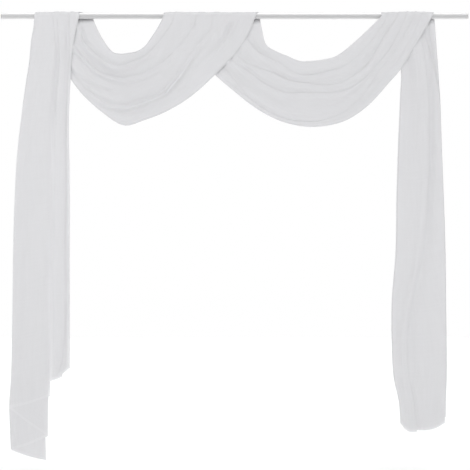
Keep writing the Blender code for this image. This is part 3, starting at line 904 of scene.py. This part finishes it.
# The side hems' painted shade is mixed into the yarn's colour here, for the shader and for the glow.
colour_with_hem_shade = add_node(tree, "ShaderNodeMix", {
    "data_type": "RGBA", "Factor": side_hem, FIRST_COLOUR: tint, SECOND_COLOUR: linear(SIDE_HEM_PAINTED_SHADE)})
bumps = add_node(tree, "ShaderNodeBump", {"Strength": 0.06, "Distance": 0.0005, "Height": streaks})
set_sockets(shader, {"Base Color": colour_with_hem_shade.outputs[MIXED], "Normal": bumps, "Roughness": 0.75, "IOR": 1.45,
                     "Sheen Weight": 0.1, "Sheen Roughness": 0.4})

glow = add_node(tree, "ShaderNodeBsdfTranslucent", {"Color": colour_with_hem_shade.outputs[MIXED]})
yarn = add_node(tree, "ShaderNodeMixShader", {"Fac": through, 1: shader, 2: glow})
holes = add_node(tree, "ShaderNodeBsdfTransparent")
weave = add_node(tree, "ShaderNodeMixShader", {"Fac": covered, 1: holes, 2: yarn})
set_sockets(output, {"Surface": weave})
voile.data.materials.append(voile_finish)
print("voile nodes:", len(tree.nodes))

# %% [markdown]
# ## White enamel
# The rod is steel tube with a stoved white enamel, which looks grey in the middle, where it shows the dimmer
# front of the studio, and white at its rims. Enamel flows a little before it sets, so the eye sees a smooth
# gloss over a very fine orange peel, about 3 mm across, and a hair of unevenness in the tone. One shader
# could do all of it, but a second one, the glaze, mixed in towards grazing angles, brings out the rims.

# %% The enamel
PEEL_SCALE = 330.0  # dimples a metre: 3 mm across
CLOUD_SCALE = 9.0  # clouds a metre: about 110 mm across
ENAMEL_TONES = ((0.3, "#ACACAD"), (0.7, "#B0B0B1"))  # the clouds' value at each tone
GLAZE_BLEND = 0.7  # how soon the glaze comes in, from the middle towards the rims

enamel, tree, shader, output = new_material("stoved_enamel_on_steel")
here = add_node(tree, "ShaderNodeTexCoord")
peel = add_node(tree, "ShaderNodeTexNoise", {
    "Vector": here.outputs["Object"], "Scale": PEEL_SCALE, "Detail": 1.0})
clouds = add_node(tree, "ShaderNodeTexNoise", {
    "Vector": here.outputs["Object"], "Scale": CLOUD_SCALE, "Detail": 3.0})
tint = add_tint(tree, clouds, ENAMEL_TONES)
flow = add_node(tree, "ShaderNodeBump", {"Strength": 0.05, "Distance": 0.0004, "Height": peel})
set_sockets(shader, {"Base Color": tint, "Normal": flow, "Roughness": 0.5, "IOR": 1.5})
glaze = add_node(tree, "ShaderNodeBsdfPrincipled", {
    "Base Color": linear("#F4F4F4"), "Normal": flow, "Metallic": 1.0, "Roughness": 0.45})
grazing = add_node(tree, "ShaderNodeLayerWeight", {"Blend": GLAZE_BLEND})
glazed = add_node(tree, "ShaderNodeMixShader", {"Fac": grazing.outputs["Facing"], 1: shader, 2: glaze})
set_sockets(output, {"Surface": glazed})
rod.data.materials.append(enamel)
print("enamel nodes:", len(tree.nodes))

# %% [markdown]
# ## Floor and light
# The picture is a cut-out on pure white, lit softly from all round with a little more light from above. A
# white tent stands round the curtain as the world. It gives the fill and the white behind, and is dimmer
# towards the camera, so that folds and rod keep some shade. Five large softboxes far away shape the folds;
# they are suns, because a sun's light is as strong at both ends of the rod. A small softbox close to the
# upper left fades towards the right, as the light in the picture does. The floor lies just below the
# picture. Many thin layers hang behind each other, so light may pass through more of them than usual.

# %% The floor
FLOOR_HEIGHT = -1.965  # m
FLOOR_CORNERS = ((-14, -14), (16, -14), (16, 16), (-14, 16))  # m

floor_mesh = bpy.data.meshes.new("pale_floor")
floor_mesh.from_pydata([(*corner, FLOOR_HEIGHT) for corner in FLOOR_CORNERS], [], [(0, 1, 2, 3)])
floor = bpy.data.objects.new("pale_floor", floor_mesh)
scene.collection.objects.link(floor)
floor_paint, tree, shader, output = new_material("matt_white_floor_paint")
set_sockets(shader, {"Base Color": linear("#FCFCFC"), "Roughness": 0.9, "Specular IOR Level": 0.1})
floor.data.materials.append(floor_paint)
print("floor's height in m:", FLOOR_HEIGHT)

# %% The white tent
TENT_FRONT = 0.2  # how bright the tent is behind the camera
TENT_BACK = 1.0  # how bright it is behind the curtain
BACK_FROM = 0.96  # it is that bright from this Y of a direction on; straight back is 1

world = bpy.data.worlds.new("white_tent")
world.use_nodes = True
sky = world.node_tree
heading = add_node(sky, "ShaderNodeTexCoord")
axes = add_node(sky, "ShaderNodeSeparateXYZ", {0: heading.outputs["Generated"]})
white = add_range(sky, axes.outputs["Y"], (-1.0, BACK_FROM), (TENT_FRONT, TENT_BACK))
set_sockets(sky.nodes["Background"], {"Color": (1.0, 1.0, 1.0, 1.0), "Strength": white})
scene.world = world
print("tent nodes:", len(sky.nodes))

# %% The softboxes
SOFTBOXES = (
    # name, energy, how many degrees wide, the way its light goes
    ("front_softbox", 0.85, 14, (-0.02, 1.0, -0.04)),
    ("high_softbox", 0.65, 40, (-0.15, 1.0, -0.9)),
    ("left_softbox", 0.12, 50, (1.2, 1.0, -0.6)),
    ("right_softbox", 0.22, 50, (-1.2, 1.0, -0.6)),
    ("overhead_softbox", 1.05, 50, (0.0, 0.1, -1.0)),
)
NEAR_WATTS = 1.1  # the small softbox close to the upper left
NEAR_SIZE = 0.6  # m
NEAR_PLACE = Vector((-0.45, -0.95, 0.1))  # m
NEAR_AIM = Vector((0.2, 0.0, -0.3))  # m, the point that it faces
LAYERS_LIT = 48  # how many surfaces light may pass straight through


def place_light(light, shine):
    """Puts a light into the scene with its light going a given way, and gives its object."""
    light_object = bpy.data.objects.new(light.name, light)
    light_object.rotation_euler = Vector(shine).to_track_quat("-Z", "Y").to_euler()
    scene.collection.objects.link(light_object)
    return light_object


for name, energy, angle, shine in SOFTBOXES:
    softbox = bpy.data.lights.new(name, "SUN")
    softbox.energy = energy
    softbox.angle = math.radians(angle)
    place_light(softbox, shine)

near_softbox = bpy.data.lights.new("near_softbox", "AREA")
near_softbox.size = NEAR_SIZE
near_softbox.energy = NEAR_WATTS
near_object = place_light(near_softbox, NEAR_AIM - NEAR_PLACE)
near_object.location = NEAR_PLACE
near_object.visible_camera = False

scene.view_settings.view_transform = "Standard"
scene.cycles.transparent_max_bounces = LAYERS_LIT
